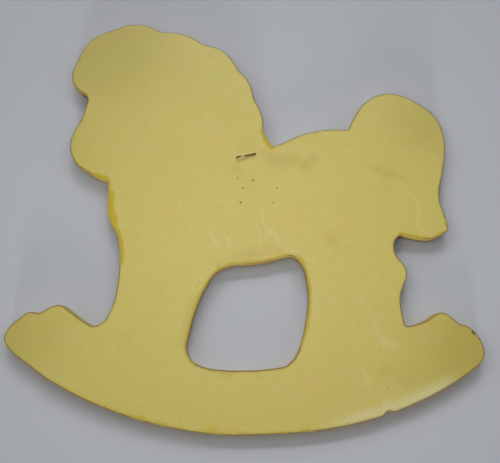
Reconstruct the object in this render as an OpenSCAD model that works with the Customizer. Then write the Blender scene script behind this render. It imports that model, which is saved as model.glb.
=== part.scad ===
/* [Board] */
// Length of the board from rocker tip to rocker tip
board_l = 250; // [150:5:400]
// Thickness of the board
board_t = 6; // [5:0.5:12]

/* [Staple] */
// Length of the staple's crown, outside the legs
crown_l = 11.4; // [8:0.1:14]
// Thickness of the staple's wire, across the crown
wire_t = 0.6; // [0.5:0.05:1]
// Width of the staple's wire, seen from above
wire_w = 0.8; // [0.5:0.05:1.2]
// Depth that the legs reach into the board
leg_depth = 4; // [2:0.5:4.5]
// Gap between the board and the crown at the end that stands proud
proud_end = 1.2; // [0.3:0.1:2]
// Gap between the board and the crown at the end that was driven home
home_end = 0.3; // [0:0.1:1]
// Turn of the staple away from the board's length
staple_turn = 15; // [0:1:45]

/* [Old holes] */
// Diameter of each old nail hole
hole_d = 1; // [0.6:0.1:1.5]
// Depth of each old nail hole
hole_depth = 3; // [1:0.5:4]

/* [Hidden] */

// The outline was drawn at this length, and it is scaled to board_l
drawn_l = 250;
// Longest straight step along a curve, in drawn millimetres
step = 2;
// Extra depth of a cut, so that it passes clear through a face
past = 1;

// The outline's stretches, clockwise, with the back face up.
// X is measured from the rocker's middle and Y up from its lowest point.
// A stretch is smooth along its length, and the corners are where two stretches meet.
rocker = [
    [112.8, 58.2], [116.8, 57.4], [121.2, 53.7], [124.3, 48.3], [125, 44], [123.8, 40.1],
    [118.5, 35.3], [112, 30.7], [104, 25.7], [92, 19.5], [76, 12.8], [60, 7.8], [44, 4.3],
    [28, 2.1], [10, 0.7], [-8, 0], [-28, 1.5], [-52, 5.9], [-76, 13.2], [-92, 20], [-100, 23.9],
    [-107.8, 28.8], [-114.8, 33.3], [-121.3, 38], [-124.4, 41.6], [-125, 44.5],
    [-123.8, 48.2], [-118, 54.5], [-115, 57], [-112, 57.8]
];
front_ramp = [
    [-112, 57.8], [-109, 57], [-103.6, 60], [-97.5, 61.8], [-93.7, 59.6], [-84.3, 53.5],
    [-78.5, 51.1], [-73.8, 54], [-70.3, 61.5], [-68.6, 72], [-68.4, 81], [-68.9, 89],
    [-71.1, 99.9], [-76.1, 107.9], [-78.4, 115], [-78.9, 124], [-79.7, 131.8]
];
muzzle = [
    [-79.7, 131.8], [-83.9, 133.1], [-92, 137], [-98.1, 140.9], [-102.3, 147], [-104, 154],
    [-102.6, 162], [-99.3, 169.5], [-97.7, 177], [-96.9, 182]
];
forelock = [
    [-96.9, 182], [-98.3, 185.5], [-102, 187.8], [-107, 193], [-108.4, 199],
    [-106.7, 206.9], [-103.5, 216], [-99.5, 223]
];
crest = [
    [-99.5, 223], [-94.5, 226.8], [-89.4, 229.5], [-85.5, 231], [-79, 234.1],
    [-72, 235.1], [-65, 234], [-58.5, 230.6]
];
mane = [
    [-58.5, 230.6], [-55, 229.9], [-49, 229.8], [-42, 228.3], [-36, 225.7], [-30.5, 222.3],
    [-26, 221], [-20.5, 219.3], [-16, 216], [-11, 209.5], [-7.9, 204.3], [-3.8, 200.1],
    [-0.6, 194.6], [1.7, 186], [5.1, 179.1], [7.2, 172.5], [7.3, 165]
];
withers = [[7.3, 165], [9.3, 161.4], [13, 156]];
saddle = [
    [13, 156], [18.5, 158], [27, 162.5], [35, 165.5], [44, 167.3], [57, 168]
];
tail = [
    [57, 168], [59.5, 174], [66, 184.3], [72.5, 189.6], [81, 192.1], [90, 190.4],
    [98, 186.2], [105, 181], [110, 174], [112.3, 165], [112.2, 155], [110.2, 143],
    [107.4, 132], [107.5, 124.5], [110.2, 116], [111, 109.2]
];
tail_tip = [
    [111, 109.2], [107.3, 106.3], [102.2, 103.8], [95.5, 103.5], [89, 104.6], [84.5, 105.4]
];
haunch = [
    [84.5, 105.4], [81.6, 102.8], [80.5, 98], [81.9, 93.2], [86, 88.2], [87, 83.5],
    [85, 78], [82.7, 71], [83.1, 64], [84.6, 56.1]
];
back_ramp = [
    [84.6, 56.1], [89, 56.8], [95.6, 59.3], [104.5, 64], [109.5, 61.3], [112.8, 58.2]
];

// The window between the legs, clockwise from its top right corner
window_side = [
    [27.8, 90.4], [31.2, 85.6], [33.2, 77], [34, 69], [32.8, 58], [30.2, 45.9], [26.3, 37.5],
    [22.3, 33.8]
];
window_foot = [
    [22.3, 33.8], [14, 32.3], [2, 31.2], [-10, 31], [-20, 32.2], [-26.6, 35.2], [-29.5, 40.5],
    [-28.6, 49], [-25.8, 62], [-21.1, 73.8], [-16, 81.8], [-9, 85.5], [-1, 86.3], [10, 88],
    [20, 91], [24.5, 91.8], [27.8, 90.4]
];

// Where the staple's crown has its middle, from the same start as the outline
staple_at = [-2, 149.4];
// A nick knocked out of the rocker's edge, in the outline's own frame
nick = [[71, 9.7], [72, 11.8], [73.8, 13.7], [76.4, 13.5], [78.3, 12.5]];
// Old nail holes, in pairs that lie about a hanger's width apart
hole_spots = [
    [-6.5, 135.8], [2.4, 134.7], [-3.1, 130], [16.1, 130.6], [-4.2, 121.4], [14, 121.9]
];

// Straight distance and unit direction from a to b
function span(a, b) = norm(b - a);
function way(a, b) = (b - a) / span(a, b);

// Direction of the curve at point i of the list p: the two chords there, the shorter one counting for more
function heading(p, i) =
    let (last = len(p) - 1)
    i == 0 ? 1.5 * way(p[0], p[1]) - 0.5 * heading(p, 1) :
    i == last ? 1.5 * way(p[last - 1], p[last]) - 0.5 * heading(p, last - 1) :
    let (before = span(p[i - 1], p[i]), after = span(p[i], p[i + 1]))
    (after * way(p[i - 1], p[i]) + before * way(p[i], p[i + 1])) / (before + after);

// Point a share t of the way along the smooth piece from p[i] to p[i + 1]
function between(p, i, t) =
    let (s = 1 - t, reach = span(p[i], p[i + 1]))
    (1 + 2 * t) * s * s * p[i] + t * s * s * reach * heading(p, i)
    + t * t * (3 - 2 * t) * p[i + 1] - t * t * s * reach * heading(p, i + 1);

// A smooth curve through three or more points, without its last point, which starts the next stretch
function curve(p) = [
    for (i = [0 : len(p) - 2])
        let (pieces = ceil(span(p[i], p[i + 1]) / step))
        for (k = [0 : pieces - 1]) between(p, i, k / pieces)
];

outline = concat(
    curve(rocker), curve(front_ramp), curve(muzzle), curve(forelock), curve(crest),
    curve(mane), curve(withers), curve(saddle), curve(tail), curve(tail_tip),
    curve(haunch), curve(back_ramp)
);
window = concat(curve(window_side), curve(window_foot));

// The middle of the outline's box, which becomes the origin
low = [min([for (p = outline) p[0]]), min([for (p = outline) p[1]])];
high = [max([for (p = outline) p[0]]), max([for (p = outline) p[1]])];
middle = (low + high) / 2;
size_factor = board_l / drawn_l;

// A drawn point in the part's own frame
function placed(p) = (p - middle) * size_factor;

// Side view of the staple: X along the crown and Y up from the board's back face
leg_x = crown_l / 2;
staple_outside = [
    [-leg_x, -leg_depth], [-leg_x, proud_end + wire_t / 2], [-leg_x + wire_t / 2, proud_end + wire_t],
    [leg_x - wire_t / 2, home_end + wire_t], [leg_x, home_end + wire_t / 2], [leg_x, -leg_depth]
];
staple_inside = [
    [leg_x - wire_t, -leg_depth + wire_t], [leg_x - wire_t, home_end],
    [-leg_x + wire_t, proud_end], [-leg_x + wire_t, -leg_depth + wire_t]
];

module in_staple_frame() {
    translate([placed(staple_at)[0], placed(staple_at)[1], board_t])
        rotate([0, 0, staple_turn])
            rotate([90, 0, 0])
                children();
}

module staple_body() {
    in_staple_frame()
        linear_extrude(wire_w, center = true)
            polygon(concat(staple_outside, staple_inside));
}

module board() {
    color("darkkhaki")
        difference() {
            linear_extrude(board_t) polygon([for (p = outline) placed(p)]);
            for (cut = [window, nick])
                translate([0, 0, -past])
                    linear_extrude(board_t + 2 * past) polygon([for (p = cut) placed(p)]);
            staple_body();
            for (spot = hole_spots)
                translate([placed(spot)[0], placed(spot)[1], board_t - hole_depth])
                    cylinder(d = hole_d, h = hole_depth + past, $fn = 24);
        }
}

module hanging_staple() {
    color("dimgray") staple_body();
}

board();
hanging_staple();
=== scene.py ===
"""A flat rocking horse, sawn from thin wood and painted, lying on its front with its staple up.

The mesh code works in millimetres in "drawn" places: x from the rocker's middle, y up from its lowest
point, and z up from the surface that the board lies on. Blender gets the meshes in metres, in the row
frame.
"""

import math

import bpy
import numpy as np
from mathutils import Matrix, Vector, noise
from mathutils.geometry import delaunay_2d_cdt
from mathutils.kdtree import KDTree


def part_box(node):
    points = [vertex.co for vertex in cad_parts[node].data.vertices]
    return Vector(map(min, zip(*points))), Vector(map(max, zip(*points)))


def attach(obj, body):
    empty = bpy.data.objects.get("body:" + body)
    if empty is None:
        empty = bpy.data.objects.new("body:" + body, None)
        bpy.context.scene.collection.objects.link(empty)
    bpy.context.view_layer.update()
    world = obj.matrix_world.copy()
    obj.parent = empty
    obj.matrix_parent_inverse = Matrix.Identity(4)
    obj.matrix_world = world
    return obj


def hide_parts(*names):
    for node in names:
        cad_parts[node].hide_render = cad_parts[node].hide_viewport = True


MM = 0.001

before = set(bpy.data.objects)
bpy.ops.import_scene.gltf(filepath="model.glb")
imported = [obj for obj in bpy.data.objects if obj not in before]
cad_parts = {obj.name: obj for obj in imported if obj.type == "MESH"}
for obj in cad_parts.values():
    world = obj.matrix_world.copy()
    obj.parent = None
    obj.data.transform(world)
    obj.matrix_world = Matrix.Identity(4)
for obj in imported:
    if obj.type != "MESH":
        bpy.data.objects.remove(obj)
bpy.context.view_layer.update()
board_low, board_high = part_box("board")

# The drawn origin in the row frame, and the board's thickness
ORIGIN = np.array([(board_low.x + board_high.x) / 2, board_low.y, board_low.z]) / MM
THICKNESS = (board_high.z - board_low.z) / MM

# --- Camera and light -------------------------------------------------------------------------------------

# The drawn place that the camera looks at, its distance from it, and its rise above it in degrees
CAMERA_TARGET = (1.55, 104.8, THICKNESS)
CAMERA_DISTANCE = 264.1
CAMERA_ELEVATION = 75.6
# How far the camera stands to the right of its target
CAMERA_ASIDE = 2.0
CAMERA_LENS = 34.56
SENSOR_WIDTH = 36.0

# Suns: name, strength, spread in degrees, the azimuth they come from (0 is +Y, 90 is +X) and elevation
SUNS = [
    ("head_fill", 0.78, 20, 0, 25),
    ("left_fill", 0.48, 36, -75, 26),
    ("right_fill", 0.43, 36, 75, 26),
    ("left_foot_fill", 0.2, 28, -135, 34),
    ("foot_fill", 2.2, 10, 180, 5.5),
]
# The key light, a long strip beyond the head: power in watts, then length, width and place in metres
STRIP_POWER = 445.0
STRIP_LENGTH = 18.0
STRIP_WIDTH = 0.9
STRIP_PLACE = (-0.9, 7.08, 5.55)
# A round lamp overhead: power in watts, then diameter and place in metres
LAMP_POWER = 0.077
LAMP_SIZE = 0.2
LAMP_PLACE = (0, -0.008, 0.16)
# Light from all round
AMBIENT = 0.03
AMBIENT_COLOUR = (0.93, 0.96, 1)

FLOOR_COLOUR = (0.555, 0.573, 0.618)
FLOOR_ROUGHNESS = 0.8
FLOOR_SHINE = 0.15
FLOOR_SIZE = 60.0

# --- Edge of the board ------------------------------------------------------------------------------------

# Spacing of the points along a sawn edge, their spacing while its corners are softened, and how much
# they are softened
EDGE_PITCH = 0.6
FINE_PITCH = 0.2
EDGE_BLUR = 0.7
# Noise seeds for the saw's cut round the outline and round the window
SAW_SEEDS = (40, 45)
# The saw's slow wobble and its finer chatter: height, and the size of each wave
EDGE_WOBBLE = (0.04, 9.0)
EDGE_CHATTER = (0.03, 1.7)
# The worn arris round the back: middle value, how far it varies, and the size of each change
ARRIS_WIDTH = (0.5, 0.15, 6.0)
ARRIS_DROP = (0.35, 0.12, 4.0)
# Insets of the back's rings, as shares of the arris's width, and then in millimetres
ARRIS_RINGS = (0.04, 0.14, 0.3, 0.55, 1.0)
RIM_RINGS = (1.2, 2.0, 3.2, 4.8)
# The same for the hidden front, whose arris drops only by a share of the back's
FRONT_ARRIS_RINGS = (0.3, 1.0)
FRONT_RIM_RING = 3.0
FRONT_ARRIS_SHARE = 0.5
# Grid spacing on the back, which is seen, and on the hidden front, and the share of it between rows
BACK_GRID = 1.5
FRONT_GRID = 4.0
GRID_ROW = 0.866
# A ring's point is kept if it is at least this share of the ring's inset from every edge
RING_SHARE = 0.97
# Rings round an oval mark, as shares of its size
OVAL_RINGS = (0.45, 0.8, 1.05, 1.5, 2.4)
# Gaps that a mark's points keep from the edge and from other points, and the grid's as a share of it
MARK_EDGE_GAP = 0.3
MARK_GAP = 0.12
GRID_GAP = 0.55
# How far the back droops toward its edge, and from how far in
BACK_DROOP = 0.05
DROOP_REACH = 4.0
# Broad and narrow waves in the back: height, and the size of each wave
BROAD_WAVES = (0.03, 26)
NARROW_WAVES = (0.012, 5)
# Depths of the wall's rows between the two arrises, as shares of the wall
WALL_ROWS = (0.06, 0.16, 0.32, 0.5, 0.68, 0.84, 0.94)
# Saw ripples across the walls: height, and the size of each ripple, and the depth of the scallops
FINE_RIPPLES = (0.05, 0.8)
COARSE_RIPPLES = (0.05, 2.5)
SCALLOP = 0.04
# How far the painted shade at the foot of the walls and round the front reaches
FOOT_REACH = 4.0

# --- Marks on the back, in drawn millimetres --------------------------------------------------------------

# Places where varnish has pooled: a line, the pool's width, and its strength
AMBER_POOLS = [
    ([(-79.5, 131), (-78.5, 125)], 3.2, 1.0),
    ([(-78.5, 124), (-78.3, 121), (-77, 115), (-74, 110)], 5.4, 1.15),
    ([(-73.5, 109), (-69.5, 101), (-68.4, 92), (-68, 86)], 3.4, 1.0),
    ([(-86.5, 135), (-84, 134), (-81, 133.5)], 3.2, 1.3),
    ([(7.2, 166), (8.5, 161), (10.5, 158)], 2.3, 1.1),
    ([(9, 159.5), (12.2, 156)], 3.4, 1.2),
    ([(84, 106), (95, 104.5), (107, 107)], 2.2, 0.9),
    ([(28.3, 91.5), (32.1, 87), (33.7, 78.7), (34.2, 68), (32.7, 55), (29.6, 45)], 2.8, 0.8),
    ([(-26, 34.5), (-29.5, 40.5), (-28.4, 55.6), (-24.8, 67.2), (-20.5, 76), (-14.9, 82)], 2.4, 0.8),
    ([(-14.9, 82), (-8, 87), (8.7, 89.5), (21.2, 92)], 2.4, 0.8),
    ([(83, 55.8), (84.5, 58.4), (92, 59.2), (99, 61.8)], 2.4, 0.3),
    ([(-81, 52), (-75, 53.5), (-69.5, 59)], 2.4, 0.3),
    ([(-71, 13), (-48, 6), (-18, 1.5), (10, 0.5), (36, 2.5)], 4.0, 0.45),
    ([(-58, 9.4), (-55, 8.4), (-51, 7)], 5, 0.45),
    ([(-16, 2), (-13, 1.8), (-8, 1)], 6.0, 0.5),
    ([(-98, 184), (-103, 188.5), (-107, 196)], 2.2, 0.45),
    ([(108, 110), (110, 117)], 2.4, 0.7),
]

# Pale scuffs: a line, half its width, and its strength
SCUFFS = [
    ([(-23.2, 112.5), (-21.6, 109.7), (-20.1, 104)], 0.8, 0.35),
    ([(-20.1, 104), (-19, 100.8), (-16.9, 98.4), (-15.4, 96.1)], 1.1, 0.65),
    ([(-12.4, 102.6), (-10.1, 100.6), (-9, 96.7)], 1.1, 0.6),
    ([(4.7, 109.2), (6, 106.4), (7.5, 102.4), (7.7, 100.4), (7.2, 96.4), (6.4, 93.5)], 0.9, 0.5),
    ([(7.7, 117.6), (8.4, 112.2), (10.2, 107.4), (11, 104.6), (10.3, 100.5)], 0.8, 0.55),
    ([(12, 103.7), (13.9, 105.4), (15.9, 102.7), (17.2, 99.9), (18.2, 97.5)], 1.8, 0.65),
    ([(84.5, 133.7), (91.1, 129.7), (94.7, 123.9), (95.5, 117.5), (92.8, 110.5)], 1.2, 0.5),
    ([(-51.4, 92.6), (-48.6, 98.3), (-42.2, 101.3), (-34, 101.5), (-28.3, 98.3), (-25.2, 93.4)], 1.6, 0.3),
    ([(-64.1, 162.5), (-53, 169.8), (-38.5, 172.9), (-23.7, 169.5)], 1.8, 0.22),
    ([(-53.6, 176.9), (-49.2, 181.7), (-47.3, 188.3), (-49.5, 194.3)], 1.4, 0.22),
    ([(29.2, 128.4), (37.7, 134.7), (47.3, 138.6), (57.5, 137.7), (64.2, 132.5)], 2.0, 0.25),
    ([(72.7, 88), (67.5, 77), (66.1, 66.3), (70, 58)], 1.6, 0.35),
    ([(78.2, 89.8), (79.8, 77.4), (77.8, 67.7)], 1.4, 0.3),
    ([(68.4, 57.5), (69.8, 51.8), (72.8, 47.9), (79.4, 45.5)], 1.5, 0.55),
    ([(72, 47.4), (77.5, 46)], 2.8, 0.6),
    ([(61.5, 34), (63.4, 29.1), (65.7, 22.9)], 1.3, 0.5),
    ([(58.1, 21.2), (54.9, 17.2), (51.8, 12.4)], 1.3, 0.4),
    ([(66.4, 29.2), (62.2, 25.2)], 1.5, 0.45),
]

# Brown smears: a line, half the smear's width, and its strength
SMEARS = [
    ([(30, 144), (37, 149)], 4.0, 0.5),
    ([(73, 143.5), (80, 140.5)], 3.5, 0.55),
    ([(82, 141.5), (90, 137)], 2.0, 0.45),
    ([(9, 150.5), (17, 147), (25, 148)], 5.0, 0.5),
    ([(-8, 141), (2, 137)], 4.5, 0.25),
    ([(-11, 29.5), (-6, 30.2)], 2.5, 0.55),
    ([(43, 104), (49, 99)], 4.0, 0.35),
    ([(74, 33), (83, 29)], 5.0, 0.35),
    ([(-29.5, 43), (-28.6, 56), (-25, 67)], 4.0, 0.5),
    ([(-14, 86), (0, 92), (18, 95)], 3.5, 0.45),
    ([(-24, 33), (-10, 30), (8, 29.5)], 2.5, 0.3),
    ([(-112, 176), (-114, 200), (-104, 214), (-80, 228), (-62, 233)], 4.5, 0.45),
    ([(121, 55), (124, 47), (117, 38), (108, 32)], 4.0, 0.4),
    ([(-112, 56), (-122, 49), (-122, 40), (-112, 31)], 4.0, 0.4),
    ([(103, 168), (110, 155), (111, 140)], 3.5, 0.35),
]

# The worn rim along the rocker's right half: the x where it starts, is full, fades and ends, the y that
# it stays under, and its width and drop
WORN_REACH = (25, 60, 100, 121)
WORN_TOP = 45
WORN_WIDTH = 7.5
WORN_DROP = 0.22

# A nail hole is round, so its loop has more points than this, and the loops of the staple's holes fewer
ROUND_POINTS = 12
# Old nail holes, from the head down: the turn of the torn paint round each, and how open and dark it is
NAIL_HOLES = [(75, 0.5), (100, 0.85), (-15, 0.45), (-12, 0.75), (-18, 0.45), (-20, 1.0)]
# The torn paint's length and width, the hole's depth, and the depth of the dimple round it
HOLE_LENGTH = 1.1
HOLE_WIDTH = 0.62
HOLE_DEPTH = 1.1
HOLE_DIMPLE = 0.06
# The pinch round each of the staple's legs: its width and depth
LEG_PINCH = 1.2
PINCH_DEPTH = 0.12

# Painted shade toward the board's ends, where the light falls off: x, y, how far it reaches, and its
# strength
END_SHADE_SPOTS = [
    (-98, 226, 85, 0.9),
    (125, 44, 62, 0.9),
    (-122, 44, 55, 0.6),
    (106, 178, 50, 0.6),
    (-120, 152, 60, 0.65),
]

# Specks and dents: x, y, length, width, turn, depth, darkness
SPECKS = [
    (11.5, 128.4, 1.0, 0.4, 15, 0.05, 0.45),
    (-14.9, 118, 1.0, 0.5, -20, 0.12, 0.7),
    (22, 153.5, 0.9, 0.5, 40, 0.1, 0.5),
    (12.6, 151.2, 1.3, 0.5, 15, 0.08, 0.4),
    (12.7, 147.6, 0.8, 0.5, 70, 0.08, 0.4),
    (22.4, 147.8, 1.1, 0.4, 60, 0.08, 0.4),
    (-24.8, 75.8, 1.7, 0.6, 62, 0.12, 0.6),
    (-15, 84.8, 1.1, 0.6, -50, 0.12, 0.8),
    (-22.8, 23.6, 1.2, 0.8, -20, 0.06, 0.45),
    (-6.2, 28.5, 2.6, 1.6, 20, 0.02, 0.3),
    (-68.1, 123.7, 1.2, 0.7, -10, 0.08, 0.55),
    (-86.4, 163.1, 2.4, 1.2, 15, 0.03, 0.3),
    (-99.2, 152.6, 1.6, 0.5, -40, 0.06, 0.3),
    (44.4, 133.7, 0.9, 0.5, 30, 0.08, 0.5),
    (73, 142.4, 2.2, 1.1, -25, 0.02, 0.3),
    (33.1, 144.8, 2.0, 1.2, 30, 0.02, 0.25),
    (70.5, 43.2, 1.2, 0.8, -35, 0.08, 0.5),
    (73.9, 24.6, 1.2, 0.9, 20, 0.1, 0.5),
    (53.7, 7.7, 1.0, 0.6, -40, 0.15, 0.8),
    (9.3, 22.1, 2.6, 0.8, 45, 0.04, 0.3),
    (-120.9, 41.5, 0.9, 0.6, 0, 0.1, 0.6),
    (-52.4, 77.7, 0.8, 0.5, 30, 0.06, 0.45),
    (-63.4, 115.6, 0.7, 0.5, 0, 0.05, 0.4),
    (-64.8, 191.1, 0.8, 0.5, 0, 0.06, 0.5),
    (-39.5, 187.9, 1.6, 0.6, 20, 0.06, 0.45),
    (-8, 173.1, 0.8, 0.5, 10, 0.06, 0.4),
    (94.9, 36, 0.9, 0.5, 60, 0.08, 0.45),
    (67.5, 185.8, 0.9, 0.6, 50, 0.1, 0.5),
]

# Dark scratches: a line, half its width, depth and darkness
SCRATCHES = [
    ([(83.2, 32.4), (85.4, 30.2), (88.4, 27.3)], 0.18, 0.08, 0.4),
    ([(-50.5, 195.5), (-50.3, 193), (-52, 190), (-55.5, 187.8)], 0.45, 0.02, 0.22),
    ([(-66, 184.5), (-60, 186)], 0.5, 0.02, 0.18),
]

# Chips broken out of the edge, which show the dark wood: x, y, radius and depth
CHIPS = [
    (119.6, 54.4, 0.8, 0.8),
    (120.3, 53.5, 0.7, 0.7),
    (109.6, 117.2, 1.1, 0.6),
    (12, 87.2, 1.3, 0.6),
]
# How far a chip cuts into the edge, as a share of its depth
CHIP_BITE = 0.45

# Stretch of the edge with ragged saw marks: its middle, half its length, and the teeth's depth and size
SAW_MIDDLE = (52.5, 167.5)
SAW_REACH = 7.0
SAW_TOOTH = 0.35
SAW_TOOTH_SIZE = 0.9

# --- Colours and coats ------------------------------------------------------------------------------------

# The paint's own colours, and then what lies over it
PAINT = (0.685, 0.587, 0.158)
WARM_PAINT = (0.69, 0.572, 0.163)
GREEN_PAINT = (0.65, 0.582, 0.13)
ORANGE_PAINT = (0.715, 0.545, 0.157)
PALE_PAINT = (0.71, 0.615, 0.215)
GRAIN_COLOUR = (0.57, 0.48, 0.1)
SPECKLE_COLOUR = (0.5, 0.42, 0.08)
# Painted shade toward the board's ends, where the light falls off
END_SHADE_COLOUR = (0.52, 0.44, 0.095)
SMEAR_COLOUR = (0.56, 0.42, 0.105)
SCUFF_COLOUR = (0.76, 0.69, 0.33)
WORN_COLOUR = (0.77, 0.7, 0.37)
AMBER_COLOUR = (0.6, 0.445, 0.035)
# Darker toward every edge: varnish gathered there, and painted shade of the rounded arris
EDGE_POOL_AND_SHADE = (0.46, 0.34, 0.07)
# The walls, painted shade at their foot, the brown arris, a painted shade line at the very foot, and what
# shows in dents and in chips
WALL_COLOUR = (0.52, 0.38, 0.06)
DARK_WALL = (0.42, 0.29, 0.045)
PALE_WALL = (0.48, 0.37, 0.075)
WALL_FOOT_SHADE = (0.3, 0.195, 0.04)
ARRIS_COLOUR = (0.2, 0.125, 0.015)
FOOT_SHADE_LINE = (0.27, 0.17, 0.03)
DENT_COLOUR = (0.27, 0.21, 0.015)
CHIP_COLOUR = (0.05, 0.032, 0.012)
# The thin varnish over the paint
COAT_WEIGHT = 0.06
COAT_ROUGHNESS = 0.35
# The staple's wire
DARK_RUST = (0.045, 0.028, 0.008)
RUST = (0.1, 0.062, 0.02)
RUBBED_STEEL = (0.6, 0.4, 0.3)
RUST_SHINE = 0.12

# --- Staple -----------------------------------------------------------------------------------------------

# The wire's thickness as a share of its width, its bends' reach, and its corners' radius
WIRE_THICKNESS = 0.75
WIRE_BEND = 0.7
WIRE_ROUND = 0.16
# Points on each corner of the wire, on each bend, and along the crown between the bends
WIRE_CORNER_POINTS = 5
WIRE_BEND_POINTS = 9
CROWN_POINTS = 12
# How far the crown sags between its legs, and how deep the rust has pitted it
CROWN_SAG = 0.36
RUST_PIT = 0.035
# The crown's rubbed stretch: its middle along the crown, and how far it reaches either way
RUBBED_MIDDLE = -1.9
RUBBED_REACH = 2.6


# --- Small helpers ----------------------------------------------------------------------------------------

def smooth_step(low, high, value):
    """0 below low, 1 above high, and a smooth turn between them. High may be below low."""
    share = np.clip((value - low) / (high - low), 0, 1)
    return share * share * (3 - 2 * share)


def field(places, size, seed):
    """Smooth noise from about -1 to 1 at each place, with features of that size in millimetres."""
    return np.array([noise.noise(Vector((x / size, y / size, seed * 7.3))) for x, y in places])


def distance_to_line(places, line):
    """Distance from each place to the nearest point of a line through several points."""
    best = np.full(len(places), np.inf)
    line = np.asarray(line, float)
    for start, end in zip(line[:-1], line[1:]):
        along = end - start
        share = np.clip(((places - start) @ along) / (along @ along), 0, 1)
        best = np.minimum(best, np.linalg.norm(places - start - share[:, None] * along, axis=1))
    return best


def soft_lines(places, lines, softness):
    """The strength at each place of the strongest of several lines whose sides fade out."""
    best = np.zeros(len(places))
    for line, half_width, strength in lines:
        near = smooth_step(softness * half_width, 0, distance_to_line(places, line))
        best = np.maximum(best, strength * near)
    return best


def varied(middle_range_size, places, seed):
    """A value at each place that varies round a middle value."""
    middle, change, size = middle_range_size
    return middle + change * field(places, size, seed)


def waves(height_size, places, seed):
    """Waves from 0 up to twice a height at each place."""
    height, size = height_size
    return height * (1 + field(places, size, seed))


def oval_distance(places, x, y, length, width, turn):
    """Distance from the middle of an oval, where 1 is its rim."""
    angle = math.radians(turn)
    offset = places - np.array([x, y])
    along = offset @ np.array([math.cos(angle), math.sin(angle)])
    across = offset @ np.array([-math.sin(angle), math.cos(angle)])
    return np.hypot(along / (length / 2), across / (width / 2))


def search_tree(places):
    """A tree that finds the nearest of these places."""
    tree = KDTree(len(places))
    for i, (x, y) in enumerate(places):
        tree.insert((x, y, 0), i)
    tree.balance()
    return tree


# --- Outline ----------------------------------------------------------------------------------------------

def back_face_loops(node):
    """The closed loops that bound a CAD node's highest flat face, in drawn millimetres, longest first."""
    mesh = node.data
    mesh.calc_loop_triangles()
    points = np.array([v.co for v in mesh.vertices]) / MM - ORIGIN
    keys = [tuple(np.round(p, 3)) for p in points]
    top = points[:, 2].max()
    rim_edges = set()
    for triangle in mesh.loop_triangles:
        corners = [keys[i] for i in triangle.vertices]
        if all(abs(c[2] - top) < 0.01 for c in corners):
            for a, b in zip(corners, corners[1:] + corners[:1]):
                if (b, a) in rim_edges:
                    rim_edges.remove((b, a))
                else:
                    rim_edges.add((a, b))
    following = dict(rim_edges)
    loops = []
    while following:
        start, here = following.popitem()
        loop = [start]
        while here != start:
            loop.append(here)
            here = following.pop(here)
        loops.append(np.array(loop)[:, :2])
    return sorted(loops, key=len, reverse=True)


def resampled(loop, pitch):
    """The same closed loop with its points evenly spaced, about pitch apart."""
    closed = np.vstack([loop, loop[:1]])
    travelled = np.concatenate([[0], np.cumsum(np.linalg.norm(np.diff(closed, axis=0), axis=1))])
    count = int(round(travelled[-1] / pitch))
    places = np.arange(count) * travelled[-1] / count
    return np.column_stack([np.interp(places, travelled, closed[:, k]) for k in (0, 1)])


def blurred(loop, pitch, blur):
    """A closed loop with its corners softened by a running average."""
    reach = int(3 * blur / pitch)
    weights = np.exp(-0.5 * (np.arange(-reach, reach + 1) * pitch / blur) ** 2)
    weights /= weights.sum()
    return sum(w * np.roll(loop, k, axis=0) for k, w in zip(range(-reach, reach + 1), weights))


def inward_normals(loop):
    """Unit normals of a closed loop that point into the wood."""
    along = np.roll(loop, -1, axis=0) - np.roll(loop, 1, axis=0)
    along /= np.linalg.norm(along, axis=1)[:, None]
    return np.column_stack([-along[:, 1], along[:, 0]])


def sawn(loop, seed):
    """The loop as a scroll saw left it: a slow wobble and a finer chatter, all of it inside the outline."""
    cut = waves(EDGE_WOBBLE, loop, seed) + waves(EDGE_CHATTER, loop, seed + 1)
    near_saw_marks = smooth_step(SAW_REACH, 0.5 * SAW_REACH, np.linalg.norm(loop - SAW_MIDDLE, axis=1))
    teeth = SAW_TOOTH * near_saw_marks * (0.5 + 0.5 * field(loop, SAW_TOOTH_SIZE, seed + 2))
    for x, y, radius, depth in CHIPS:
        near = 1 - np.linalg.norm(loop - np.array([x, y]), axis=1) / radius
        teeth += CHIP_BITE * depth * np.clip(near, 0, 1)
    return loop + inward_normals(loop) * (cut + teeth)[:, None]


class Rim:
    """All the sawn edges of the board, with what each of their points knows about its own stretch."""

    def __init__(self, loops):
        self.loops = loops
        self.points = np.vstack(loops)
        self.normals = np.vstack([inward_normals(loop) for loop in loops])
        starts = np.cumsum([0] + [len(loop) for loop in loops])
        self.following = np.concatenate(
            [start + np.roll(np.arange(len(loop)), -1) for start, loop in zip(starts, loops)]
        )
        self.before = np.empty(len(self.points), int)
        self.before[self.following] = np.arange(len(self.points))
        self.tree = search_tree(self.points)
        self.arris_width = varied(ARRIS_WIDTH, self.points, 11)
        self.arris_drop = varied(ARRIS_DROP, self.points, 12)
        start, full, fade, end = WORN_REACH
        along = self.points[:, 0]
        rocker = (self.normals[:, 1] > 0.2) & (self.points[:, 1] < WORN_TOP)
        self.worn = rocker * smooth_step(start, full, along) * smooth_step(end, fade, along)

    def distances(self, places):
        """Distance of each place from the nearest edge, and the index of the edge point that it is near."""
        nearest = np.array([self.tree.find((x, y, 0))[1] for x, y in places])
        best = np.full(len(places), np.inf)
        for other in (self.before[nearest], self.following[nearest]):
            start, along = self.points[nearest], self.points[other] - self.points[nearest]
            share = np.clip(((places - start) * along).sum(1) / (along * along).sum(1), 0, 1)
            best = np.minimum(best, np.linalg.norm(places - start - share[:, None] * along, axis=1))
        return best, nearest

    def inside(self, places):
        """Which places lie in the wood."""
        crossings = np.zeros(len(places), int)
        for a, b in zip(self.points, self.points[self.following]):
            spans = (a[1] > places[:, 1]) != (b[1] > places[:, 1])
            rise = b[1] - a[1] if b[1] != a[1] else 1.0
            crossings += spans & (places[:, 0] < a[0] + (places[:, 1] - a[1]) * (b[0] - a[0]) / rise)
        return crossings % 2 == 1


# --- Board ------------------------------------------------------------------------------------------------

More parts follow.
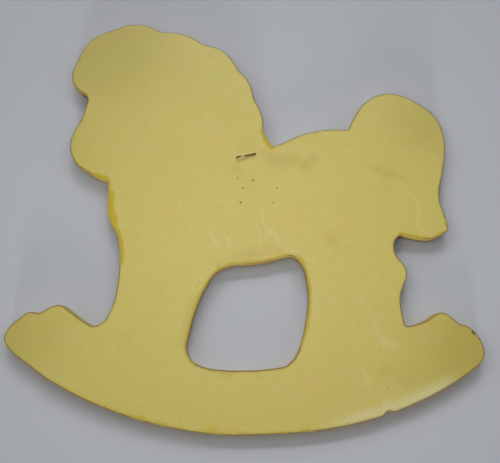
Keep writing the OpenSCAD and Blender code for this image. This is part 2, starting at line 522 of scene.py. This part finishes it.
def rings_behind(rim, insets):
    """Points on rings at these insets behind the edge, kept only where the ring doesn't fold over."""
    kept = []
    for inset in insets:
        places = rim.points + rim.normals * inset[:, None]
        distance, _ = rim.distances(places)
        kept.append(places[distance > RING_SHARE * inset])
    return kept


def oval_rings(x, y, length, width, turn):
    """Points in and round an oval mark, close enough together to carry its shape."""
    angle = math.radians(turn)
    rings = [np.array([[x, y]])]
    for size in OVAL_RINGS:
        count = 6 if size < 0.5 else 12
        turns = np.arange(count) * math.tau / count
        along = size * length / 2 * np.cos(turns)
        across = size * width / 2 * np.sin(turns)
        rings.append(np.column_stack([
            x + along * math.cos(angle) - across * math.sin(angle),
            y + along * math.sin(angle) + across * math.cos(angle),
        ]))
    return rings


def line_points(line, pitch, offsets):
    """Points along a line at a pitch, and beside it at these offsets."""
    line = np.asarray(line, float)
    spans = np.linalg.norm(np.diff(line, axis=0), axis=1)
    travelled = np.concatenate([[0], np.cumsum(spans)])
    places = np.linspace(0, travelled[-1], max(2, int(travelled[-1] / pitch)))
    middle = np.column_stack([np.interp(places, travelled, line[:, k]) for k in (0, 1)])
    along = np.gradient(middle, axis=0)
    along /= np.linalg.norm(along, axis=1)[:, None]
    across = np.column_stack([-along[:, 1], along[:, 0]])
    return [middle + across * offset for offset in offsets]


def grid(rim, spacing):
    """A staggered grid of places over the board."""
    low, high = rim.points.min(0), rim.points.max(0)
    xs = np.arange(low[0], high[0], spacing)
    ys = np.arange(low[1], high[1], spacing * GRID_ROW)
    x, y = np.meshgrid(xs, ys)
    x = x + np.where(np.arange(len(ys)) % 2, spacing / 2, 0)[:, None]
    return np.column_stack([x.ravel(), y.ravel()])


def apart(places, others, gap):
    """The places that keep a gap from all of the others."""
    tree = search_tree(others)
    return places[[tree.find((x, y, 0))[2] > gap for x, y in places]]


def face_points(rim, insets, details, spacing):
    """The places of one face's vertices behind its edge: rings, details, and a grid over the rest."""
    rings = np.vstack(rings_behind(rim, insets))
    placed = np.vstack([rim.points, rings])
    if details:
        fine = np.vstack(details)
        distance, _ = rim.distances(fine)
        fine = fine[(distance > MARK_EDGE_GAP) & rim.inside(fine)]
        fine = apart(fine, placed, MARK_GAP)
        placed = np.vstack([placed, fine])
    rest = grid(rim, spacing)
    rest = rest[rim.inside(rest)]
    distance, _ = rim.distances(rest)
    rest = apart(rest[distance > np.max(insets[-1])], placed, GRID_GAP * spacing)
    return np.vstack([placed, rest])[len(rim.points):]


def triangles(rim, inner):
    """Triangles over the wood through the edge's points and the inner ones."""
    places = np.vstack([rim.points, inner])
    edges = [(i, int(j)) for i, j in enumerate(rim.following)]
    found = delaunay_2d_cdt([Vector(p) for p in places], edges, [], 0, 1e-5)
    corners = np.array(found[2])
    origin = np.array([olds[0] if olds else -1 for olds in found[3]])
    corners = origin[corners]
    on_edge = (corners < len(rim.points)).all(axis=1)
    keep = ~on_edge
    keep[on_edge] = rim.inside(places[corners[on_edge]].mean(axis=1))
    return corners[keep]


def rounded(distance, width):
    """The drop of a quarter-round arris, 1 at its edge and 0 from its width inward."""
    share = np.clip(1 - distance / width, 0, 1)
    return 1 - np.sqrt(1 - share ** 2)


def back_depth(rim, places, holes, legs):
    """How far the back lies below its highest plane, and how dark each place is from dents and holes."""
    distance, nearest = rim.distances(places)
    width, drop = rim.arris_width[nearest], rim.arris_drop[nearest]
    depth = drop * rounded(distance, width)
    depth += BACK_DROOP * np.clip(1 - distance / DROOP_REACH, 0, 1) ** 2
    depth += WORN_DROP * rim.worn[nearest] * np.clip(1 - distance / WORN_WIDTH, 0, 1) ** 2
    depth += waves(BROAD_WAVES, places, 21) + waves(NARROW_WAVES, places, 22)
    dark = np.zeros(len(places))
    for x, y, turn, openness in holes:
        reach = oval_distance(places, x, y, HOLE_LENGTH, HOLE_WIDTH, turn)
        pit = HOLE_DEPTH * smooth_step(1.05, 0.7, reach) + HOLE_DIMPLE * smooth_step(2.4, 1.0, reach)
        depth += openness * pit
        dark = np.maximum(dark, openness * smooth_step(1.5, 0.95, reach))
    for x, y, length, width, turn, dent, darkness in SPECKS:
        reach = oval_distance(places, x, y, length, width, turn)
        depth += dent * smooth_step(1.3, 0.3, reach)
        dark = np.maximum(dark, darkness * smooth_step(1.4, 0.6, reach))
    for line, half_width, dent, darkness in SCRATCHES:
        reach = distance_to_line(places, line) / half_width
        depth += dent * smooth_step(1.4, 0.2, reach)
        dark = np.maximum(dark, darkness * smooth_step(1.8, 0.6, reach))
    for x, y, radius, chip in CHIPS:
        reach = np.linalg.norm(places - np.array([x, y]), axis=1) / radius
        depth += chip * smooth_step(1.0, 0.2, reach) * smooth_step(2.2, 0.0, distance)
        dark = np.maximum(dark, 1.5 * smooth_step(1.05, 0.75, reach))
    for x, y in legs:
        reach = np.linalg.norm(places - np.array([x, y]), axis=1)
        depth += PINCH_DEPTH * smooth_step(1.4, 0.4, reach)
        dark = np.maximum(dark, 0.5 * smooth_step(0.9, 0.5, reach))
    return depth, dark


def paint_masks(rim, places):
    """Where the paint has pooled varnish, scuffs, smears, painted end shade and a worn rim, each from 0 to
    1.
    """
    distance, nearest = rim.distances(places)
    amber = np.zeros(len(places))
    for line, width, strength in AMBER_POOLS:
        near = smooth_step(width, 0.25 * width, distance_to_line(places, line))
        amber = np.maximum(amber, strength * near * smooth_step(1.3 * width, 0.3 * width, distance))
    scuff = soft_lines(places, SCUFFS, 1.6)
    smear = soft_lines(places, SMEARS, 1.8)
    end_shade = np.zeros(len(places))
    for x, y, reach, strength in END_SHADE_SPOTS:
        away = np.linalg.norm(places - np.array([x, y]), axis=1)
        end_shade = np.maximum(end_shade, strength * smooth_step(reach, 0, away))
    worn = rim.worn[nearest] * smooth_step(1.25 * WORN_WIDTH, 0.35 * WORN_WIDTH, distance)
    return np.clip(amber, 0, 1), scuff, smear, end_shade, worn


def wall_rings(rim, back_z, front_z):
    """The wall's vertices between its back and front arris, row by row, with saw ripples across it."""
    ripple = waves(FINE_RIPPLES, rim.points, 31) + waves(COARSE_RIPPLES, rim.points, 32)
    rows = []
    for share in WALL_ROWS:
        z = back_z + (front_z - back_z) * share
        belly = 4 * share * (1 - share)
        scallop = SCALLOP * np.array([noise.noise(Vector((x, y, 3 * share))) for x, y in rim.points])
        places = rim.points + rim.normals * (ripple * belly + np.abs(scallop))[:, None]
        rows.append(np.column_stack([places, z]))
    return rows


def mark_points(holes, legs):
    """Points that carry the shapes of the marks on the back."""
    details = []
    for x, y, turn, _ in holes:
        details += oval_rings(x, y, HOLE_LENGTH, HOLE_WIDTH, turn)
    for x, y, length, width, turn, _, _ in SPECKS:
        details += oval_rings(x, y, length, width, turn)
    for line, half_width, _, _ in SCRATCHES:
        details += line_points(line, 0.5, [k * half_width for k in (-2.5, -1.2, 0, 1.2, 2.5)])
    for line, half_width, _ in SCUFFS:
        details += line_points(line, 1.0, [k * half_width for k in (-1.3, -0.6, 0, 0.6, 1.3)])
    for x, y in legs:
        details += oval_rings(x, y, LEG_PINCH, LEG_PINCH, 0)
    return details


def wall_triangles(rim, row_starts):
    """Triangles between one row of the wall and the next, from the numbers of the rows' first vertices."""
    here = np.arange(len(rim.points))
    sides = []
    for upper, lower in zip(row_starts[:-1], row_starts[1:]):
        a, b = upper + here, upper + rim.following
        c, d = lower + rim.following, lower + here
        sides.append(np.column_stack([a, d, b]))
        sides.append(np.column_stack([b, d, c]))
    return sides


def build_board(rim, holes, legs):
    """The board's vertices, its triangles, and its paint attributes."""
    count = len(rim.points)
    insets = [rim.arris_width * share for share in ARRIS_RINGS] + [np.full(count, r) for r in RIM_RINGS]
    back = face_points(rim, insets, mark_points(holes, legs), BACK_GRID)
    front_insets = [rim.arris_width * share for share in FRONT_ARRIS_RINGS]
    front_insets.append(np.full(count, FRONT_RIM_RING))
    front = face_points(rim, front_insets, [], FRONT_GRID)

    back_places = np.vstack([rim.points, back])
    back_distance, _ = rim.distances(back_places)
    depth, dark = back_depth(rim, back_places, holes, legs)
    back_z = THICKNESS - depth
    front_places = np.vstack([rim.points, front])
    front_distance, nearest = rim.distances(front_places)
    front_drop = FRONT_ARRIS_SHARE * rim.arris_drop[nearest]
    front_z = front_drop * rounded(front_distance, rim.arris_width[nearest])
    rows = wall_rings(rim, back_z[:count], front_z[:count])
    walls = np.vstack(rows)
    vertices = [np.column_stack([back_places, back_z]), walls, np.column_stack([front_places, front_z])]

    amber, scuff, smear, end_shade, worn = paint_masks(rim, back_places)
    wall_amber = np.tile(amber[:count], len(rows))
    wall_zeros = np.zeros(len(walls))
    front_zeros = np.zeros(len(front_places))
    depth_in_wall = np.minimum(THICKNESS - walls[:, 2], walls[:, 2])
    wall_foot = 1 - walls[:, 2] / FOOT_REACH
    front_foot = 1 - front_distance / FOOT_REACH
    attributes = {
        "inset": np.concatenate([back_distance, -depth_in_wall, front_distance]),
        "amber": np.concatenate([amber, wall_amber, front_zeros]),
        "foot": np.concatenate([np.zeros(len(back_places)), wall_foot, front_foot]),
    }
    back_marks = {"scuff": scuff, "smear": smear, "end_shade": end_shade, "worn": worn, "dark": dark}
    for key, values in back_marks.items():
        attributes[key] = np.concatenate([values, wall_zeros, front_zeros])

    back_triangles = triangles(rim, back)
    front_start = len(back_places) + len(walls)
    front_triangles = triangles(rim, front)[:, ::-1] + front_start
    row_starts = [0] + [len(back_places) + k * count for k in range(len(rows))] + [front_start]
    faces = np.vstack([back_triangles, front_triangles] + wall_triangles(rim, row_starts))
    return np.vstack(vertices), faces, attributes


# --- Staple -----------------------------------------------------------------------------------------------

def staple_shape(node):
    """The staple's points, its middle, the way its crown runs, and each point's reach along and across."""
    points = np.array([v.co for v in node.data.vertices]) / MM - ORIGIN
    middle = points[:, :2].mean(axis=0)
    _, _, axes = np.linalg.svd(points[:, :2] - middle)
    along = axes[0] if axes[0][0] > 0 else -axes[0]
    reach = (points[:, :2] - middle) @ along
    across = (points[:, :2] - middle) @ np.array([-along[1], along[0]])
    return points, middle, along, reach, across


def staple_path(node):
    """The wire's centre line from one leg's point to the other's, where it stands, and the wire's size."""
    points, middle, along, reach, across = staple_shape(node)
    half = (reach.max() - reach.min()) / 2
    wide = across.max() - across.min()
    left_top = points[reach < -0.8 * half][:, 2].max()
    right_top = points[reach > 0.8 * half][:, 2].max()
    foot = points[:, 2].min()
    thick = WIRE_THICKNESS * wide
    corners = [
        (-half + thick / 2, foot), (-half + thick / 2, left_top - thick / 2),
        (half - thick / 2, right_top - thick / 2), (half - thick / 2, foot),
    ]
    path = [corners[0]]
    for before, corner, after in zip(corners[:-2], corners[1:-1], corners[2:]):
        before, corner, after = np.array(before), np.array(corner), np.array(after)
        enter = corner + WIRE_BEND * (before - corner) / np.linalg.norm(before - corner)
        leave = corner + WIRE_BEND * (after - corner) / np.linalg.norm(after - corner)
        for t in np.linspace(0, 1, WIRE_BEND_POINTS):
            path.append((1 - t) ** 2 * enter + 2 * t * (1 - t) * corner + t ** 2 * leave)
        if corner[0] < 0:
            for t in np.linspace(0.1, 0.9, CROWN_POINTS):
                bow = -CROWN_SAG * math.sin(math.pi * t)
                path.append(leave + (corners[2] - leave) * t * 0.94 + np.array([0, bow]))
    path.append(corners[-1])
    return np.array(path, float), middle, along, wide, thick


def wire_section(wide, thick):
    """A rounded rectangle, as offsets across the wire and up from its middle."""
    section = []
    for k, (sx, sy) in enumerate([(1, 1), (-1, 1), (-1, -1), (1, -1)]):
        for t in range(WIRE_CORNER_POINTS):
            angle = math.pi / 2 * (k + t / (WIRE_CORNER_POINTS - 1))
            section.append((
                sx * (wide / 2 - WIRE_ROUND) + WIRE_ROUND * math.cos(angle),
                sy * (thick / 2 - WIRE_ROUND) + WIRE_ROUND * math.sin(angle),
            ))
    return np.array(section)


def build_staple(node):
    """The staple's vertices and faces: a flat wire swept along its bent centre line, pitted with rust."""
    path, middle, along, wide, thick = staple_path(node)
    section = wire_section(wide, thick)
    across = np.array([-along[1], along[0], 0])
    level = np.array([along[0], along[1], 0])
    rings = []
    for i, place in enumerate(path):
        heading = path[min(i + 1, len(path) - 1)] - path[max(i - 1, 0)]
        heading /= np.linalg.norm(heading)
        up = np.array([-heading[1], heading[0]])
        centre = np.array([*middle, 0]) + level * place[0] + np.array([0, 0, place[1]])
        for side, rise in section:
            spot = centre + across * side + level * up[0] * rise + np.array([0, 0, up[1] * rise])
            pit = RUST_PIT * (1 + noise.noise(Vector(spot * 2.3)))
            inward = centre - spot
            rings.append(spot + inward / np.linalg.norm(inward) * pit)
    vertices = np.array(rings)
    size = len(section)
    faces = []
    for i in range(len(path) - 1):
        for k in range(size):
            a, b = i * size + k, i * size + (k + 1) % size
            faces.append((a, b, b + size, a + size))
    faces.append(tuple(range(size))[::-1])
    faces.append(tuple(range((len(path) - 1) * size, len(path) * size)))
    rubbed = smooth_step(RUBBED_REACH, 0, np.abs(path[:, 0] - RUBBED_MIDDLE))
    return vertices, faces, {"rubbed": np.repeat(rubbed, size)}


# --- Blender objects --------------------------------------------------------------------------------------

def mesh_object(name, vertices, faces, attributes):
    """A smooth-shaded object made from drawn millimetres."""
    mesh = bpy.data.meshes.new(name)
    mesh.from_pydata(((vertices + ORIGIN) * MM).tolist(), [], [tuple(map(int, f)) for f in faces])
    for key, values in attributes.items():
        attribute = mesh.attributes.new(key, "FLOAT", "POINT")
        attribute.data.foreach_set("value", np.asarray(values, np.float32))
    mesh.shade_smooth()
    mesh.update()
    made = bpy.data.objects.new(name, mesh)
    bpy.context.scene.collection.objects.link(made)
    return made


class Nodes:
    """Short calls for the nodes of one material."""

    def __init__(self, name):
        self.material = bpy.data.materials.new(name)
        self.material.use_nodes = True
        self.tree = self.material.node_tree
        self.shader = self.tree.nodes["Principled BSDF"]
        self.place = self.add("ShaderNodeTexCoord").outputs["Object"]

    def add(self, kind, inputs=None, **settings):
        """Adds a node, sets it up, and links or sets its inputs by name or number."""
        made = self.tree.nodes.new(kind)
        for name, value in settings.items():
            setattr(made, name, value)
        for key, value in (inputs or {}).items():
            if isinstance(value, bpy.types.NodeSocket):
                self.tree.links.new(value, made.inputs[key])
            else:
                made.inputs[key].default_value = value
        return made

    def attribute(self, name):
        """A mesh attribute's value."""
        return self.add("ShaderNodeAttribute", attribute_name=name).outputs["Fac"]

    def noise(self, size, detail):
        """Noise from 0 to 1 with features of that size in millimetres."""
        inputs = {"Vector": self.place, "Scale": 1 / (size * MM), "Detail": detail}
        return self.add("ShaderNodeTexNoise", inputs).outputs["Fac"]

    def math(self, operation, a, b=0.0, clamp=False):
        """One sum on two values."""
        return self.add("ShaderNodeMath", {0: a, 1: b}, operation=operation, use_clamp=clamp).outputs[0]

    def ranged(self, value, low, high, to_low=0.0, to_high=1.0):
        """The value carried smoothly from one range to another, and held at its ends."""
        inputs = {"Value": value, "From Min": low, "From Max": high, "To Min": to_low, "To Max": to_high}
        return self.add("ShaderNodeMapRange", inputs, interpolation_type="SMOOTHSTEP").outputs["Result"]

    def blend(self, share, a, b):
        """Colour b over colour a by a share."""
        made = self.add("ShaderNodeMix", {"Factor": share}, data_type="RGBA")
        for key, value in (("A", a), ("B", b)):
            socket = [s for s in made.inputs if s.name == key and s.type == "RGBA"][0]
            if isinstance(value, bpy.types.NodeSocket):
                self.tree.links.new(value, socket)
            else:
                socket.default_value = (*value, 1)
        return [s for s in made.outputs if s.type == "RGBA"][0]

    def ragged(self, value, grain, amount, low, high):
        """A mask whose border is broken up by noise."""
        shift = self.math("MULTIPLY", self.math("SUBTRACT", grain, 0.5), amount)
        return self.ranged(self.math("ADD", value, shift), low, high)

    def bump(self, height, distance, strength):
        """A normal from a height in millimetres."""
        inputs = {"Height": height, "Distance": distance * MM, "Strength": strength}
        return self.add("ShaderNodeBump", inputs).outputs["Normal"]

    def finish(self, colour, roughness, normal, **constants):
        """Links the shader's inputs, sets its constants, and returns the material."""
        self.tree.links.new(colour, self.shader.inputs["Base Color"])
        self.tree.links.new(roughness, self.shader.inputs["Roughness"])
        self.tree.links.new(normal, self.shader.inputs["Normal"])
        for key, value in constants.items():
            self.shader.inputs[key.replace("_", " ")].default_value = value
        return self.material


def painted_board():
    """Old yellow paint on thin wood: mottled and marked, with varnish pools, a brown arris and painted
    shade.
    """
    n = Nodes("painted_board")
    inset, amber, scuff = n.attribute("inset"), n.attribute("amber"), n.attribute("scuff")
    smear, end_shade, worn = n.attribute("smear"), n.attribute("end_shade"), n.attribute("worn")
    dark, foot = n.attribute("dark"), n.attribute("foot")
    broad, cloud, grain = n.noise(38, 3), n.noise(9, 3), n.noise(1.1, 3)
    speckle, fibre = n.noise(0.45, 2), n.noise(0.25, 2)

    colour = n.blend(n.ranged(broad, 0.35, 0.65), PAINT, WARM_PAINT)
    colour = n.blend(n.ranged(cloud, 0.42, 0.72, 0, 0.5), colour, GREEN_PAINT)
    colour = n.blend(n.ranged(n.noise(17, 3), 0.45, 0.75, 0, 0.6), colour, ORANGE_PAINT)
    colour = n.blend(n.ranged(n.noise(5, 3), 0.5, 0.75, 0, 0.5), colour, PALE_PAINT)
    # Painted shade: darker toward the board's ends, where the light falls off
    colour = n.blend(n.ragged(end_shade, n.noise(24, 3), 0.35, 0.0, 1.0), colour, END_SHADE_COLOUR)
    colour = n.blend(n.ranged(grain, 0.3, 0.75, 0, 0.3), colour, GRAIN_COLOUR)
    colour = n.blend(n.ranged(speckle, 0.6, 0.8, 0, 0.45), colour, SPECKLE_COLOUR)
    colour = n.blend(n.ragged(smear, cloud, 0.5, 0.0, 1.1), colour, SMEAR_COLOUR)
    pale = n.math("MULTIPLY", n.ragged(scuff, grain, 1.1, 0.1, 1.1), 0.72)
    colour = n.blend(pale, colour, SCUFF_COLOUR)
    colour = n.blend(n.ragged(worn, speckle, 2.6, 0.3, 1.5), colour, WORN_COLOUR)

    pool = n.ragged(n.ragged(amber, cloud, 0.8, 0.0, 1.0), n.noise(2.5, 3), 1.0, 0.2, 0.95)
    colour = n.blend(pool, colour, AMBER_COLOUR)
    # Darker toward every edge: varnish gathered there, and painted shade of the rounded arris
    rim = n.ragged(n.ranged(inset, 2.6, 0.2), cloud, 0.8, 0.2, 1.2)
    colour = n.blend(n.math("MULTIPLY", rim, 0.45), colour, EDGE_POOL_AND_SHADE)

    streak = n.noise(0.8, 3)
    side = n.blend(n.ranged(streak, 0.35, 0.7), WALL_COLOUR, DARK_WALL)
    side = n.blend(n.ranged(n.noise(14, 2), 0.5, 0.7), side, PALE_WALL)
    # Painted shade: the walls darken toward the floor they stand on
    side = n.blend(n.ranged(foot, 0.1, 0.8), side, WALL_FOOT_SHADE)
    colour = n.blend(n.ranged(inset, -0.05, -0.3), colour, side)
    arris = n.ragged(n.ranged(n.math("ABSOLUTE", inset), 1.0, 0.2), grain, 0.9, 0.25, 0.95)
    bare = n.math("MULTIPLY", arris, n.ranged(pool, 0.3, 0.8, 0.9, 0.25))
    colour = n.blend(bare, colour, ARRIS_COLOUR)
    # Painted shade: a dark line at the very foot of the walls and round the front, fainter under varnish
    # pools
    foot_shade_line = n.math("MULTIPLY", n.ragged(foot, grain, 0.3, 0.76, 0.95), n.ranged(amber, 0.0, 0.8, 0.65, 0.2))
    colour = n.blend(foot_shade_line, colour, FOOT_SHADE_LINE)
    colour = n.blend(n.ragged(dark, speckle, 0.4, 0.1, 0.95), colour, DENT_COLOUR)
    colour = n.blend(n.ranged(dark, 1.0, 1.5), colour, CHIP_COLOUR)

    rough = n.ranged(grain, 0.3, 0.7, 0.39, 0.48)
    rough = n.math("SUBTRACT", rough, n.math("MULTIPLY", pool, 0.12))
    rough = n.math("ADD", rough, n.math("MULTIPLY", n.math("MAXIMUM", scuff, worn), 0.15), clamp=True)
    rough = n.math("MAXIMUM", rough, n.ranged(inset, -0.3, -0.8, 0, 0.75))
    rough = n.math("MAXIMUM", rough, n.math("MULTIPLY", bare, 0.9))

    height = n.math("ADD", n.math("MULTIPLY", grain, 0.05), n.math("MULTIPLY", fibre, 0.012))
    height = n.math("ADD", height, n.math("MULTIPLY", cloud, 0.1))
    normal = n.bump(height, 1.0, 0.5)
    return n.finish(colour, rough, normal, Coat_Weight=COAT_WEIGHT, Coat_Roughness=COAT_ROUGHNESS)


def staple_wire():
    """Old steel wire: dark brown rust, rubbed to pinkish metal on part of the crown."""
    n = Nodes("staple_wire")
    rust, pits = n.noise(1.6, 3), n.noise(0.3, 3)
    colour = n.blend(n.ranged(pits, 0.35, 0.7), DARK_RUST, RUST)
    patches = n.math("MULTIPLY", n.math("SUBTRACT", rust, 0.5), 0.9)
    bright = n.ranged(n.math("ADD", n.attribute("rubbed"), patches), 0.55, 0.75)
    colour = n.blend(bright, colour, RUBBED_STEEL)
    rough = n.ranged(bright, 0, 1, 0.7, 0.38)
    metal = n.math("MULTIPLY", bright, 0.8)
    n.tree.links.new(metal, n.shader.inputs["Metallic"])
    return n.finish(colour, rough, n.bump(pits, 0.1, 0.7), Specular_IOR_Level=RUST_SHINE)


def make_floor():
    """A plain pale surface under the board."""
    half = FLOOR_SIZE / 2
    mesh = bpy.data.meshes.new("floor")
    corners = [(-half, -half, 0), (half, -half, 0), (half, half, 0), (-half, half, 0)]
    mesh.from_pydata(corners, [], [(0, 1, 2, 3)])
    made = bpy.data.objects.new("floor", mesh)
    made.location.z = board_low.z
    bpy.context.scene.collection.objects.link(made)
    surface = bpy.data.materials.new("floor")
    surface.use_nodes = True
    shader = surface.node_tree.nodes["Principled BSDF"]
    shader.inputs["Base Color"].default_value = (*FLOOR_COLOUR, 1)
    shader.inputs["Roughness"].default_value = FLOOR_ROUGHNESS
    shader.inputs["Specular IOR Level"].default_value = FLOOR_SHINE
    mesh.materials.append(surface)


def in_row_frame(x, y, z):
    """A drawn place in metres in the row frame."""
    return Vector((np.array([x, y, z]) + ORIGIN) * MM)


def make_camera():
    """The camera, nearly straight above the board."""
    data = bpy.data.cameras.new("camera")
    data.lens = CAMERA_LENS
    data.sensor_width = SENSOR_WIDTH
    data.clip_start = 0.01
    camera = bpy.data.objects.new("camera", data)
    rise = math.radians(CAMERA_ELEVATION)
    back = Vector((0, -math.cos(rise), math.sin(rise)))
    aside = Vector((CAMERA_ASIDE, 0, 0))
    camera.location = in_row_frame(*CAMERA_TARGET) + (back * CAMERA_DISTANCE + aside) * MM
    direction = in_row_frame(*CAMERA_TARGET) - camera.location
    camera.rotation_mode = "QUATERNION"
    camera.rotation_quaternion = direction.to_track_quat("-Z", "Y")
    bpy.context.scene.collection.objects.link(camera)
    bpy.context.scene.camera = camera


def make_sun(name, strength, spread, azimuth, elevation):
    """A light from far away."""
    data = bpy.data.lights.new(name, "SUN")
    data.energy = strength
    data.angle = math.radians(spread)
    made = bpy.data.objects.new(name, data)
    turn, rise = math.radians(azimuth), math.radians(elevation)
    level = math.cos(rise)
    towards = Vector((-math.sin(turn) * level, -math.cos(turn) * level, -math.sin(rise)))
    made.rotation_mode = "QUATERNION"
    made.rotation_quaternion = towards.to_track_quat("-Z", "Y")
    bpy.context.scene.collection.objects.link(made)


def make_strip():
    """A long thin light that faces the board."""
    data = bpy.data.lights.new("strip", "AREA")
    data.shape = "RECTANGLE"
    data.size = STRIP_LENGTH
    data.size_y = STRIP_WIDTH
    data.energy = STRIP_POWER
    strip = bpy.data.objects.new("strip", data)
    strip.location = STRIP_PLACE
    strip.rotation_mode = "QUATERNION"
    strip.rotation_quaternion = (-Vector(STRIP_PLACE)).to_track_quat("-Z", "Y")
    bpy.context.scene.collection.objects.link(strip)


def make_lights():
    """A long key light beyond the head, broad low fills round the board, and a lamp overhead."""
    make_strip()
    for sun in SUNS:
        make_sun(*sun)
    data = bpy.data.lights.new("lamp", "AREA")
    data.shape = "DISK"
    data.size = LAMP_SIZE
    data.energy = LAMP_POWER
    lamp = bpy.data.objects.new("lamp", data)
    lamp.location = LAMP_PLACE
    bpy.context.scene.collection.objects.link(lamp)
    world = bpy.data.worlds.new("room")
    world.use_nodes = True
    background = world.node_tree.nodes["Background"]
    background.inputs["Color"].default_value = (*AMBIENT_COLOUR, 1)
    background.inputs["Strength"].default_value = AMBIENT
    bpy.context.scene.world = world


def main():
    """Builds the board and the staple from the CAD, and then the floor, the camera and the lights."""
    loops = back_face_loops(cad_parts["board"])
    edges = []
    for seed, loop in zip(SAW_SEEDS, loops):
        softened = blurred(resampled(loop, FINE_PITCH), FINE_PITCH, EDGE_BLUR)
        edges.append(sawn(resampled(softened, EDGE_PITCH), seed))
    rim = Rim(edges)
    nail_loops = [loop for loop in loops[len(SAW_SEEDS):] if len(loop) > ROUND_POINTS]
    centres = [(loop.min(0) + loop.max(0)) / 2 for loop in nail_loops]
    centres.sort(key=lambda centre: -centre[1])
    holes = [(*centre, *hole) for centre, hole in zip(centres, NAIL_HOLES)]
    path, middle, along, _, _ = staple_path(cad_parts["hanging_staple"])
    legs = [middle + along * path[0][0], middle + along * path[-1][0]]

    board = mesh_object("painted_board", *build_board(rim, holes, legs))
    board.data.materials.append(painted_board())
    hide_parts("board")
    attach(board, "root")

    staple = mesh_object("staple", *build_staple(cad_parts["hanging_staple"]))
    staple.data.materials.append(staple_wire())
    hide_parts("hanging_staple")
    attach(staple, "root")

    make_floor()
    make_camera()
    make_lights()
    bpy.context.scene.view_settings.view_transform = "Standard"


main()
